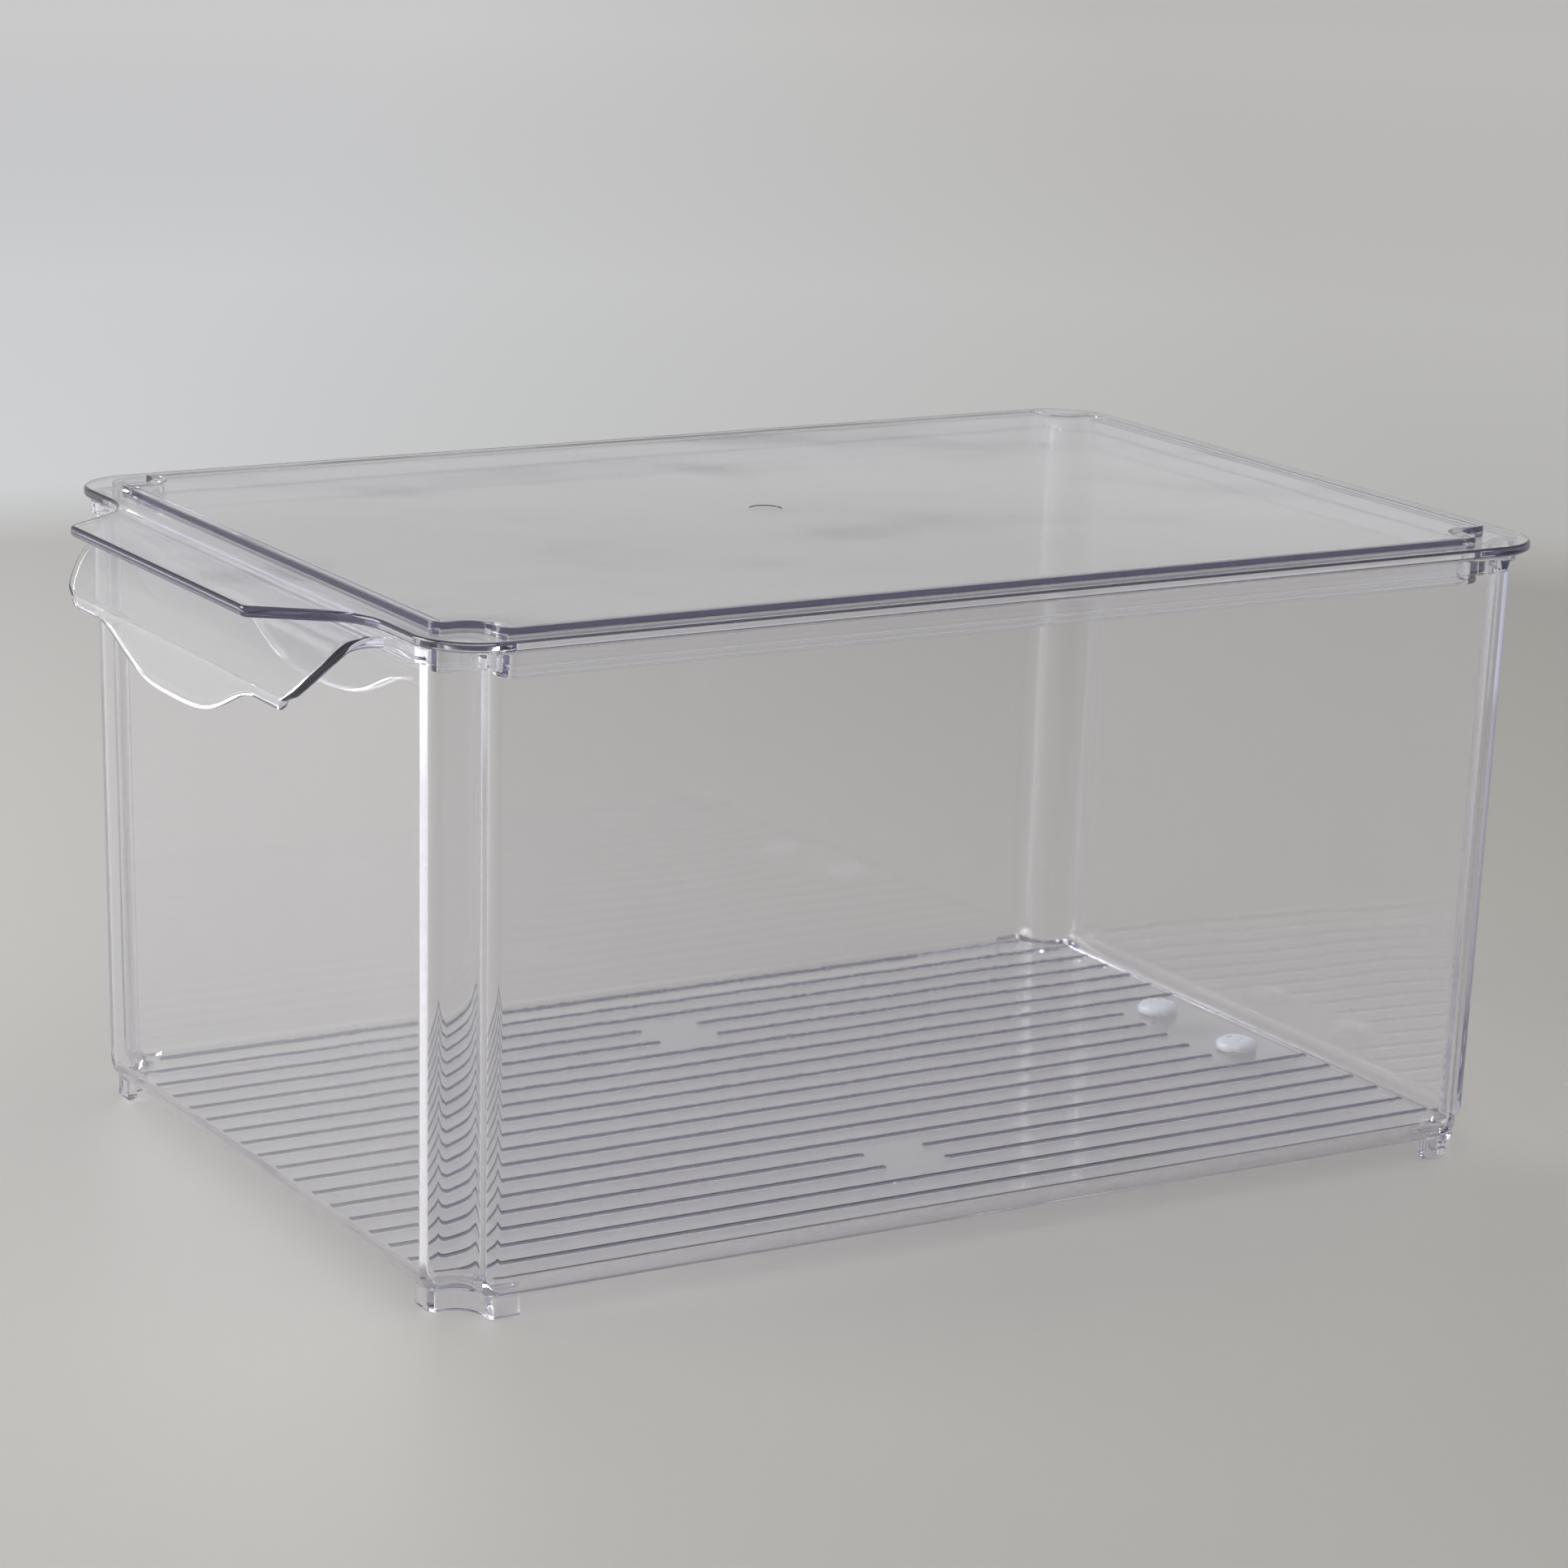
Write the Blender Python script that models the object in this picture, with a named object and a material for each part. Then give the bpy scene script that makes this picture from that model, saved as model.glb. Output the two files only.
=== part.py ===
"""Clear plastic organizer box with a lift-off lid: a notched-corner tub on four feet, with a ribbed floor,
a rim band and a front pull, a lid with a raised panel and a lift tab, and two round bumpers on the floor."""

import bmesh
import bpy
import math
from mathutils import Matrix, Vector

# The outside of the box, with the height of the lid's flat rim. Lengths in this file are metres.
LID_LENGTH = 0.310
LID_WIDTH = 0.215
RIM_TOP = 0.160
LID_CORNER_RADIUS = 0.016

# The free space that every piece keeps to its seat.
SEAT_GAP = 0.0003

# How far one solid reaches into the solid that it joins, and a cutter past what it cuts.
JOIN_OVERLAP = 0.0012
CUT_OVERRUN = 0.002

# The lid: a flat rim, a panel raised a little above it, and a plug whose outside carries on from the panel's.
RIM_THICKNESS = 0.0024
PANEL_RISE = 0.0014
PANEL_THICKNESS = 0.0022
PLUG_WALL = 0.0030
PLUG_DEPTH = 0.0100
PLUG_CLEARANCE = 0.0025
PLUG_CORNER_CLEARANCE = 0.0037
PLUG_POST_RADIUS = 0.0035
PLUG_COVE_RADIUS = 0.0055

# The lift tab on the lid's front edge, a flat plate with slanted sides.
TAB_REACH = 0.022
TAB_THICKNESS = 0.0028
TAB_TIP_HALF_WIDTH = 0.0505
TAB_ROOT_HALF_WIDTH = 0.067
TAB_TIP_RADIUS = 0.003
TAB_ROOT_RADIUS = 0.022

# The tub's walls. It is narrower than the lid at its top, and narrower again at its floor.
WALL = 0.0024
TUB_INSET = 0.0022
SIDE_DRAFT = 0.0021
END_DRAFT = 0.0028
FLOOR_THICKNESS = 0.0022
BOTTOM_RADIUS = 0.0050
INNER_BOTTOM_RADIUS = 0.0040

# The notch at each of the tub's corners: a post on either side of a hollow cove.
NOTCH = 0.0100
POST_RADIUS = 0.0040
COVE_RADIUS = 0.0050
LEAST_RADIUS = 0.0004

# The thicker band round the tub's top.
BAND_PROUD = 0.0013
BAND_HEIGHT = 0.0039

# The four feet, each a short wall that follows the notch above it. They are solids of their own.
FOOT_HEIGHT = 0.0044
FOOT_WALL = 0.0026
FOOT_INSET = 0.0018
FOOT_LEG = 0.0085
FOOT_END_RADIUS = 0.0012

# The ribs on the floor, all alike and as many as fit side by side. The two bare places halfway along each
# side cross two ribs, counted from the middle one, and the bare place at the rear cuts the middle ones short.
RIB_PITCH = 0.01045
RIB_WIDTH = 0.0017
RIB_HEIGHT = 0.0006
RIB_END_CLEARANCE = 0.0042
RIB_SIDE_CLEARANCE = 0.0050
RIB_NOTCH_CLEARANCE = 0.0030
BARE_PLACE_LENGTH = 0.0172
BARE_PLACE_RIBS = (5, 6)
REAR_BARE_LENGTH = 0.0235
REAR_BARE_RIB = 2

# The two soft bumpers on the floor, in the bare place by the rear wall.
BUMPER_DIAMETER = 0.0110
BUMPER_HEIGHT = 0.0030
BUMPER_TOP_DIAMETER = 0.0068
BUMPER_SPACING = 0.0372
BUMPER_REAR_DISTANCE = 0.0205

# The front pull: a sloping shelf that swings out from the band and turns down into a lip.
PULL_THICKNESS = 0.0024
PULL_ROOT_DROP = 0.0013
PULL_REACH = 0.0195
PULL_DROP = 0.0160
PULL_ROOT_HALF_WIDTH = 0.0780
PULL_RIDGE_HALF_WIDTH = 0.0615
PULL_LIP_HALF_WIDTH = 0.0590
PULL_LIP_HEIGHT = 0.0028
PULL_BULGE_HEIGHT = 0.0098
PULL_BULGE_HALF_WIDTH = 0.0470

# The slope's shape: how far out, how far down and how much of the narrowing is done, at each row of points.
PULL_OUT_SHARES = (0.08, 0.22, 0.40, 0.58, 0.745, 0.88, 0.97, 1.00)
PULL_DOWN_SHARES = (0.01, 0.04, 0.125, 0.30, 0.50, 0.71, 0.875, 1.00)
PULL_NARROW_SHARES = (0.08, 0.25, 0.40, 0.45, 0.52, 0.66, 0.80, 1.00)
BULGE_FULLNESS_SHARE = 1.6
LIP_ROWS = 3
PULL_COLUMNS = 24

# How finely round corners are cut.
ARC_STEPS = 4
ROUND_STEPS = 4
BUMPER_SIDES = 24
BUMPER_DOME_SHARES = ((0.0, 0.97), (0.45, 1.0), (0.72, 0.93), (0.90, 0.80))

# Heights above the surface that the box stands on.
RIM_BOTTOM = RIM_TOP - RIM_THICKNESS
PANEL_TOP = RIM_TOP + PANEL_RISE
PANEL_BOTTOM = PANEL_TOP - PANEL_THICKNESS
PLUG_BOTTOM = RIM_TOP - PLUG_DEPTH
TUB_TOP = RIM_BOTTOM - SEAT_GAP
BAND_BOTTOM = TUB_TOP - BAND_HEIGHT
TUB_BOTTOM = FOOT_HEIGHT
FLOOR_TOP = TUB_BOTTOM + FLOOR_THICKNESS

# The lid's middle lies behind the origin, so that the origin is the middle of the whole box with its tab.
CENTRE_Y = TAB_REACH / 2


def new_material(name, colour, roughness, transmission):
    """A Principled material, see-through where transmission is 1."""
    material = bpy.data.materials.new(name)
    material.use_nodes = True
    shader = material.node_tree.nodes["Principled BSDF"]
    shader.inputs["Base Color"].default_value = (*colour, 1.0)
    shader.inputs["Roughness"].default_value = roughness
    shader.inputs["Metallic"].default_value = 0.0
    shader.inputs["IOR"].default_value = 1.57
    shader.inputs["Transmission Weight"].default_value = transmission
    return material


def new_object(name, bm, material=None):
    """An object at the world origin from a finished bmesh, shaded smooth except at its sharp edges."""
    mesh = bpy.data.meshes.new(name)
    bm.normal_update()
    bm.to_mesh(mesh)
    bm.free()
    mesh.shade_smooth()
    mesh.set_sharp_from_angle(angle=math.radians(30))
    obj = bpy.data.objects.new(name, mesh)
    bpy.context.collection.objects.link(obj)
    if material:
        mesh.materials.append(material)
    return obj


def join_or_cut(obj, helper, operation):
    """Adds a Boolean modifier to the object and keeps its helper out of the model."""
    helper.hide_render = True
    helper.display_type = "WIRE"
    modifier = obj.modifiers.new(helper.name, "BOOLEAN")
    modifier.operation = operation
    modifier.solver = "EXACT"
    modifier.object = helper


def rounded(corners):
    """A closed outline: each corner (x, y, radius) becomes an arc that touches the straight lines beside it."""
    points = []
    for index, (x, y, radius) in enumerate(corners):
        here = Vector((x, y))
        before = (Vector(corners[index - 1][:2]) - here).normalized()
        after = (Vector(corners[(index + 1) % len(corners)][:2]) - here).normalized()
        half_angle = before.angle(after) / 2
        middle = (before + after).normalized()
        centre = here + middle * (radius / math.sin(half_angle))
        start = here + before * (radius / math.tan(half_angle)) - centre
        end = here + after * (radius / math.tan(half_angle)) - centre
        turn = math.atan2(start.x * end.y - start.y * end.x, start.dot(end))
        for step in range(ARC_STEPS + 1):
            spoke = Matrix.Rotation(turn * step / ARC_STEPS, 2) @ start
            points.append(centre + spoke)
    return points


def all_quarters(quarter):
    """The corners of the whole outline, counter-clockwise, from those round its +X +Y corner."""
    back = quarter[::-1]
    left = [(-x, y, r) for x, y, r in back]
    front_left = [(-x, -y, r) for x, y, r in quarter]
    front_right = [(x, -y, r) for x, y, r in back]
    return quarter + left + front_left + front_right


def notched_corner(half_x, half_y, notch, post_radius, cove_radius):
    """The three corners of the notch at +X +Y: a post, the cove and the second post."""
    post = max(post_radius, LEAST_RADIUS)
    side_post = (half_x, half_y - notch, post)
    cove = (half_x - notch, half_y - notch, min(cove_radius, notch - post - LEAST_RADIUS))
    end_post = (half_x - notch, half_y, post)
    return [side_post, cove, end_post]


def tub_outline(height, inset):
    """The tub's notched outline at a height, moved inwards from its outer face by inset."""
    down = (TUB_TOP - height) / (TUB_TOP - TUB_BOTTOM)
    half_x = LID_WIDTH / 2 - TUB_INSET - SIDE_DRAFT * down - inset
    half_y = LID_LENGTH / 2 - TUB_INSET - END_DRAFT * down - inset
    corner = notched_corner(half_x, half_y, NOTCH, POST_RADIUS - inset, COVE_RADIUS + inset)
    return rounded(all_quarters(corner))


def plug_outline(inset):
    """The plug's notched outline, inside the tub's wall by its clearances, moved inwards by inset."""
    to_tub = TUB_INSET + WALL
    half_x = LID_WIDTH / 2 - to_tub - PLUG_CLEARANCE - inset
    half_y = LID_LENGTH / 2 - to_tub - PLUG_CLEARANCE - inset
    notch = NOTCH + PLUG_CORNER_CLEARANCE - PLUG_CLEARANCE
    corner = notched_corner(half_x, half_y, notch, PLUG_POST_RADIUS - inset, PLUG_COVE_RADIUS + inset)
    return rounded(all_quarters(corner))


def loft(name, rings, material=None):
    """A closed solid through outlines (points, height) of equal count, capped at the first and the last."""
    bm = bmesh.new()
    loops = []
    for points, height in rings:
        loops.append([bm.verts.new((p[0], p[1] + CENTRE_Y, height)) for p in points])
    bm.faces.new(loops[0][::-1])
    for low, high in zip(loops, loops[1:]):
        for index in range(len(low)):
            after = (index + 1) % len(low)
            bm.faces.new((low[index], low[after], high[after], high[index]))
    bm.faces.new(loops[-1])
    return new_object(name, bm, material)


def prism(name, points, bottom, top):
    """A straight block between two heights."""
    return loft(name, [(points, bottom), (points, top)])


def add_prism(bm, points, bottom, top):
    """Adds one more straight block to a bmesh that holds several."""
    low = [bm.verts.new((p[0], p[1] + CENTRE_Y, bottom)) for p in points]
    high = [bm.verts.new((p[0], p[1] + CENTRE_Y, top)) for p in points]
    bm.faces.new(low[::-1])
    bm.faces.new(high)
    for index in range(len(low)):
        after = (index + 1) % len(low)
        bm.faces.new((low[index], low[after], high[after], high[index]))


def under_rings(drop):
    """The outlines of the tub's rounded lower edge, from under the floor outwards, lowered by drop."""
    rings = []
    for step in range(ROUND_STEPS + 1):
        angle = math.radians(90) * (1 - step / ROUND_STEPS)
        inset = BOTTOM_RADIUS * (1 - math.cos(angle))
        height = TUB_BOTTOM + BOTTOM_RADIUS * (1 - math.sin(angle))
        rings.append((tub_outline(height, inset), height - drop))
    return rings


def tub_rings():
    """The tub's outlines in order: under the floor, up the outside, over the rim and down the inside."""
    rings = under_rings(0)
    rings.append((tub_outline(BAND_BOTTOM, 0), BAND_BOTTOM))
    rings.append((tub_outline(BAND_BOTTOM, -BAND_PROUD), BAND_BOTTOM))
    rings.append((tub_outline(TUB_TOP, -BAND_PROUD), TUB_TOP))
    rings.append((tub_outline(TUB_TOP, WALL), TUB_TOP))
    for step in range(ROUND_STEPS + 1):
        angle = math.radians(90) * step / ROUND_STEPS
        inset = WALL + INNER_BOTTOM_RADIUS * (1 - math.cos(angle))
        height = FLOOR_TOP + INNER_BOTTOM_RADIUS * (1 - math.sin(angle))
        rings.append((tub_outline(height, inset), height))
    return rings


def rib_spans(index):
    """The stretches (start, end) along Y of the rib that lies index pitches from the middle."""
    inner_half_x = LID_WIDTH / 2 - TUB_INSET - SIDE_DRAFT - WALL
    inner_half_y = LID_LENGTH / 2 - TUB_INSET - END_DRAFT - WALL
    beside_cove = inner_half_x - NOTCH - RIB_NOTCH_CLEARANCE
    end = inner_half_y - RIB_END_CLEARANCE
    if abs(index) * RIB_PITCH > beside_cove:
        end = inner_half_y - NOTCH - RIB_END_CLEARANCE
    rear = end - REAR_BARE_LENGTH if abs(index) <= REAR_BARE_RIB else end
    if abs(index) in BARE_PLACE_RIBS:
        return [(-end, -BARE_PLACE_LENGTH / 2), (BARE_PLACE_LENGTH / 2, rear)]
    return [(-end, rear)]


def new_ribs():
    """All the floor's ribs, low bars with round ends that reach a little into the floor."""
    bm = bmesh.new()
    half = RIB_WIDTH / 2
    inner_half_x = LID_WIDTH / 2 - TUB_INSET - SIDE_DRAFT - WALL
    last = int((inner_half_x - RIB_SIDE_CLEARANCE) / RIB_PITCH)
    for index in range(-last, last + 1):
        x = index * RIB_PITCH
        for start, end in rib_spans(index):
            sides = [(x + half, start), (x + half, end), (x - half, end), (x - half, start)]
            outline = rounded([(across, along, half) for across, along in sides])
            add_prism(bm, outline, FLOOR_TOP - JOIN_OVERLAP, FLOOR_TOP + RIB_HEIGHT)
    bmesh.ops.remove_doubles(bm, verts=bm.verts, dist=SEAT_GAP / 100)
    return new_object("floor_ribs", bm)


def foot_outline():
    """The foot under the +X +Y corner: a wall that follows the notch, with a leg along either side."""
    half_x = LID_WIDTH / 2 - TUB_INSET - SIDE_DRAFT - FOOT_INSET
    half_y = LID_LENGTH / 2 - TUB_INSET - END_DRAFT - FOOT_INSET
    outer = notched_corner(half_x, half_y, NOTCH, POST_RADIUS - FOOT_INSET, COVE_RADIUS + FOOT_INSET)
    deep = FOOT_INSET + FOOT_WALL
    inner_x = half_x - FOOT_WALL
    inner_y = half_y - FOOT_WALL
    inner = notched_corner(inner_x, inner_y, NOTCH, POST_RADIUS - deep, COVE_RADIUS + deep)
    leg_x = half_x - NOTCH - FOOT_LEG
    leg_y = half_y - NOTCH - FOOT_LEG
    side_end = [(inner_x, leg_y, FOOT_END_RADIUS), (half_x, leg_y, FOOT_END_RADIUS)]
    front_end = [(leg_x, half_y, FOOT_END_RADIUS), (leg_x, inner_y, FOOT_END_RADIUS)]
    return rounded(side_end + outer + front_end + inner[::-1])


def new_foot(name, side, end, material):
    """One foot, with its top cut to the tub's rounded lower edge and the seat gap left free."""
    points = [(side * p[0], end * p[1]) for p in foot_outline()]
    if side * end < 0:
        points.reverse()
    foot = prism(name, points, 0, TUB_BOTTOM + JOIN_OVERLAP)
    foot.data.materials.append(material)
    join_or_cut(foot, loft(name + "_seat", under_rings(SEAT_GAP)), "DIFFERENCE")
    return foot


def pull_profile():
    """The pull's top surface from root to ridge: (distance out, height, half width) of each row."""
    front = LID_LENGTH / 2 - TUB_INSET
    top = TUB_TOP - PULL_ROOT_DROP
    rows = [(front - JOIN_OVERLAP, top, PULL_ROOT_HALF_WIDTH)]
    narrowing = PULL_ROOT_HALF_WIDTH - PULL_RIDGE_HALF_WIDTH
    for out, down, narrow in zip(PULL_OUT_SHARES, PULL_DOWN_SHARES, PULL_NARROW_SHARES):
        half_width = PULL_ROOT_HALF_WIDTH - narrowing * narrow
        rows.append((front + PULL_REACH * out, top - PULL_DROP * down, half_width))
    return rows


def lip_depth(x):
    """How far the lip hangs below the ridge at x: even, with a bulge in the middle that swells and ends softly."""
    reach = min(abs(x) / PULL_BULGE_HALF_WIDTH, 1) ** BULGE_FULLNESS_SHARE
    return PULL_LIP_HEIGHT + PULL_BULGE_HEIGHT * (1 + math.cos(math.radians(180) * reach)) / 2


def pull_column(share):
    """The outer and the inner points of the pull at one share of its half width, from root to lip."""
    rows = [Vector((width * share, -out, height)) for out, height, width in pull_profile()]
    ridge = rows[-1]
    for step in range(1, LIP_ROWS + 1):
        down = step / LIP_ROWS
        half_width = PULL_RIDGE_HALF_WIDTH + (PULL_LIP_HALF_WIDTH - PULL_RIDGE_HALF_WIDTH) * down * down
        rows.append(Vector((half_width * share, ridge.y, ridge.z - lip_depth(half_width * share) * down)))
    inner = []
    for index, point in enumerate(rows):
        before = rows[max(index - 1, 0)]
        after = rows[min(index + 1, len(rows) - 1)]
        along = (after - before).yz.normalized()
        inner.append(point + Vector((0, -along.y, along.x)) * PULL_THICKNESS)
    return rows, inner


def new_pull():
    """The pull, a sheet between its outer and its inner surface, closed along its four borders."""
    bm = bmesh.new()
    outer = []
    inner = []
    for column in range(PULL_COLUMNS + 1):
        rows, under = pull_column(2 * column / PULL_COLUMNS - 1)
        outer.append([bm.verts.new((p.x, p.y + CENTRE_Y, p.z)) for p in rows])
        inner.append([bm.verts.new((p.x, p.y + CENTRE_Y, p.z)) for p in under])
    rows = len(outer[0])
    for left, right, low_left, low_right in zip(outer, outer[1:], inner, inner[1:]):
        for row in range(rows - 1):
            bm.faces.new((left[row], left[row + 1], right[row + 1], right[row]))
            bm.faces.new((low_left[row], low_right[row], low_right[row + 1], low_left[row + 1]))
        bm.faces.new((left[0], right[0], low_right[0], low_left[0]))
        bm.faces.new((left[-1], low_left[-1], low_right[-1], right[-1]))
    for row in range(rows - 1):
        bm.faces.new((outer[0][row], inner[0][row], inner[0][row + 1], outer[0][row + 1]))
        bm.faces.new((outer[-1][row], outer[-1][row + 1], inner[-1][row + 1], inner[-1][row]))
    bmesh.ops.recalc_face_normals(bm, faces=bm.faces)
    return new_object("front_pull", bm)


def new_tub(material):
    """The tub: walls, floor, ribs, band and pull."""
    tub = loft("tub", tub_rings(), material)
    join_or_cut(tub, new_ribs(), "UNION")
    join_or_cut(tub, new_pull(), "UNION")
    return tub


def lid_outline():
    """The lid's outline: a round-cornered rectangle that the front edge carries the tab on."""
    half_x = LID_WIDTH / 2
    half_y = LID_LENGTH / 2
    tip = -half_y - TAB_REACH
    return rounded(
        [
            (half_x, half_y, LID_CORNER_RADIUS),
            (-half_x, half_y, LID_CORNER_RADIUS),
            (-half_x, -half_y, LID_CORNER_RADIUS),
            (-TAB_ROOT_HALF_WIDTH, -half_y, TAB_ROOT_RADIUS),
            (-TAB_TIP_HALF_WIDTH, tip, TAB_TIP_RADIUS),
            (TAB_TIP_HALF_WIDTH, tip, TAB_TIP_RADIUS),
            (TAB_ROOT_HALF_WIDTH, -half_y, TAB_ROOT_RADIUS),
            (half_x, -half_y, LID_CORNER_RADIUS),
        ]
    )


def tab_outline():
    """The tab alone, which is a little thicker than the rim that carries it."""
    front = -LID_LENGTH / 2
    tip = front - TAB_REACH
    lean = (TAB_ROOT_HALF_WIDTH - TAB_TIP_HALF_WIDTH) / TAB_REACH
    root = front - SEAT_GAP
    root_half = TAB_ROOT_HALF_WIDTH - lean * SEAT_GAP
    return rounded(
        [
            (-root_half, root, LEAST_RADIUS),
            (-TAB_TIP_HALF_WIDTH, tip, TAB_TIP_RADIUS),
            (TAB_TIP_HALF_WIDTH, tip, TAB_TIP_RADIUS),
            (root_half, root, LEAST_RADIUS),
        ]
    )


def new_lid(material, parent):
    """The lid, one moulding: rim, tab, plug and raised panel. It lifts straight up from the tub."""
    lid = prism("lid", lid_outline(), RIM_BOTTOM, RIM_TOP)
    lid.data.materials.append(material)
    tab = prism("lid_tab", tab_outline(), RIM_TOP - TAB_THICKNESS, RIM_TOP)
    join_or_cut(lid, tab, "UNION")
    plug = prism("lid_plug", plug_outline(0), PLUG_BOTTOM, PANEL_TOP)
    join_or_cut(lid, plug, "UNION")
    hollow = prism("lid_hollow", plug_outline(PLUG_WALL), PLUG_BOTTOM - CUT_OVERRUN, PANEL_BOTTOM)
    join_or_cut(lid, hollow, "DIFFERENCE")
    lid.parent = parent
    lid.matrix_parent_inverse = parent.matrix_world.inverted()
    return lid


def new_bumper(name, side, material):
    """One round bumper: a low soft disc with a domed top, standing on the floor."""
    y = CENTRE_Y + LID_LENGTH / 2 - TUB_INSET - END_DRAFT - BUMPER_REAR_DISTANCE
    base = Vector((side * BUMPER_SPACING / 2, y, FLOOR_TOP + SEAT_GAP))
    bm = bmesh.new()
    loops = []
    levels = list(BUMPER_DOME_SHARES) + [(1.0, BUMPER_TOP_DIAMETER / BUMPER_DIAMETER)]
    for up, wide in levels:
        loop = []
        for index in range(BUMPER_SIDES):
            angle = math.radians(360) * index / BUMPER_SIDES
            radius = BUMPER_DIAMETER / 2 * wide
            spoke = Vector((math.cos(angle), math.sin(angle), 0)) * radius
            loop.append(bm.verts.new(base + spoke + Vector((0, 0, BUMPER_HEIGHT * up))))
        loops.append(loop)
    bm.faces.new(loops[0][::-1])
    bm.faces.new(loops[-1])
    for low, high in zip(loops, loops[1:]):
        for index in range(BUMPER_SIDES):
            after = (index + 1) % BUMPER_SIDES
            bm.faces.new((low[index], low[after], high[after], high[index]))
    return new_object(name, bm, material)


def new_lift_axis():
    """The empty that carries the lid, in the middle of the seat that the lid lifts from."""
    axis = bpy.data.objects.new("lid_lift_axis", None)
    axis.location = (0, CENTRE_Y, TUB_TOP)
    bpy.context.collection.objects.link(axis)
    bpy.context.view_layer.update()
    return axis


def main():
    for obj in list(bpy.data.objects):
        bpy.data.objects.remove(obj, do_unlink=True)
    clear = new_material("clear_plastic", (0.93, 0.92, 0.96), 0.03, 1.0)
    soft = new_material("frosted_rubber", (0.82, 0.85, 0.86), 0.45, 0.3)
    new_tub(clear)
    new_foot("front_left_foot", -1, -1, clear)
    new_foot("front_right_foot", 1, -1, clear)
    new_foot("rear_left_foot", -1, 1, clear)
    new_foot("rear_right_foot", 1, 1, clear)
    new_lid(clear, new_lift_axis())
    new_bumper("left_bumper", -1, soft)
    new_bumper("right_bumper", 1, soft)


main()
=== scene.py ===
"""Clear plastic organizer box with a lift-off lid: the finished surfaces and materials of its tub, its lid
and its two floor bumpers, on a plain pale floor in soft light. Lengths are metres, in the CAD's frame."""

import math

import bpy
import numpy as np
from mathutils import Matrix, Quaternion, Vector


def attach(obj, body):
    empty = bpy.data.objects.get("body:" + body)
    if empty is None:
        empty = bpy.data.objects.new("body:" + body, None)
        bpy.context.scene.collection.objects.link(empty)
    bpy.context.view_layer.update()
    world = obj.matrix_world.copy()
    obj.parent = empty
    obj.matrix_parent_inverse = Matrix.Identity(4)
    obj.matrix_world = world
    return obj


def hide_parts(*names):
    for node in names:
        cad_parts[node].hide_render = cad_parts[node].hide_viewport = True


# The photograph's camera: the point on its axis, how far off it stands, and its angles in degrees.
CAMERA_AIM = (0.00344, 0.00574, 0.09021)
CAMERA_DISTANCE = 1.22907
CAMERA_AZIMUTH = 59.092
CAMERA_ELEVATION = 14.108
CAMERA_ROLL = 1.731
CAMERA_LENS = 110.964
SENSOR_WIDTH = 36.0

# The box's main sizes, as the solids have them.
LID_LENGTH = 0.310
LID_WIDTH = 0.215
RIM_TOP = 0.160
LID_CORNER_RADIUS = 0.016
SEAT_GAP = 0.0003
LEAST_RADIUS = 0.0004

# The lid.
RIM_THICKNESS = 0.0024
RIM_EDGE_RADIUS = 0.0008
PANEL_RISE = 0.0014
PANEL_EDGE_RADIUS = 0.00035
PANEL_THICKNESS = 0.0022
PLUG_WALL = 0.0030
PLUG_DEPTH = 0.0100
PLUG_CLEARANCE = 0.0025
PLUG_CORNER_CLEARANCE = 0.0037
PLUG_POST_RADIUS = 0.0035
PLUG_COVE_RADIUS = 0.0055
PLUG_EDGE_RADIUS = 0.0006
PANEL_FILLET = 0.0008
TAB_REACH = 0.022
TAB_THICKNESS = 0.0028
TAB_TIP_HALF_WIDTH = 0.0505
TAB_ROOT_HALF_WIDTH = 0.067
TAB_TIP_RADIUS = 0.003
TAB_ROOT_RADIUS = 0.022
TAB_EDGE_RADIUS = 0.0011
TAB_SKIN = 0.0001
GATE_RADIUS = 0.0042
GATE_SOFT_EDGE = 0.0006
GATE_DIP = 0.00015

# The tub's walls, band and feet.
WALL = 0.0024
TUB_INSET = 0.0022
SIDE_DRAFT = 0.0021
END_DRAFT = 0.0028
FLOOR_THICKNESS = 0.0022
BOTTOM_RADIUS = 0.0050
INNER_BOTTOM_RADIUS = 0.0040
NOTCH = 0.0100
POST_RADIUS = 0.0040
COVE_RADIUS = 0.0050
BAND_PROUD = 0.0013
BAND_HEIGHT = 0.0039
BAND_EDGE_RADIUS = 0.0005
BAND_FILLET = 0.0004
MOUTH_EDGE_RADIUS = 0.0005
FOOT_HEIGHT = 0.0044
FOOT_WALL = 0.0026
FOOT_INSET = 0.0018
FOOT_LEG = 0.0085
FOOT_END_RADIUS = 0.0012
FOOT_EDGE_RADIUS = 0.0004
FOOT_JOIN = 0.0016

# The ribs on the floor, a little wider and taller than the solids', so that they look as soft as real ones.
RIB_PITCH = 0.01045
RIB_WIDTH = 0.0024
RIB_HEIGHT = 0.0007
RIB_DEPTH = 0.0007
RIB_FLAT_SHARE = 0.12
RIB_END_CLEARANCE = 0.0042
RIB_SIDE_CLEARANCE = 0.0050
RIB_NOTCH_CLEARANCE = 0.0030
BARE_PLACE_LENGTH = 0.0172
BARE_PLACE_RIBS = (5, 6)
REAR_BARE_LENGTH = 0.0235
REAR_BARE_RIB = 2

# The bumpers on the floor. The profile's rows are shares of the radius and of the height.
BUMPER_DIAMETER = 0.0110
BUMPER_HEIGHT = 0.0030
BUMPER_SPACING = 0.0372
BUMPER_REAR_DISTANCE = 0.0205
BUMPER_SIDE = ((0.94, 0), (0.985, 0.05), (1, 0.14), (1, 0.42), (0.975, 0.56), (0.92, 0.68), (0.84, 0.80))
BUMPER_DOME = ((0.74, 0.89), (0.62, 0.95), (0.45, 0.985), (0.25, 0.998), (0.08, 1.0))

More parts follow.
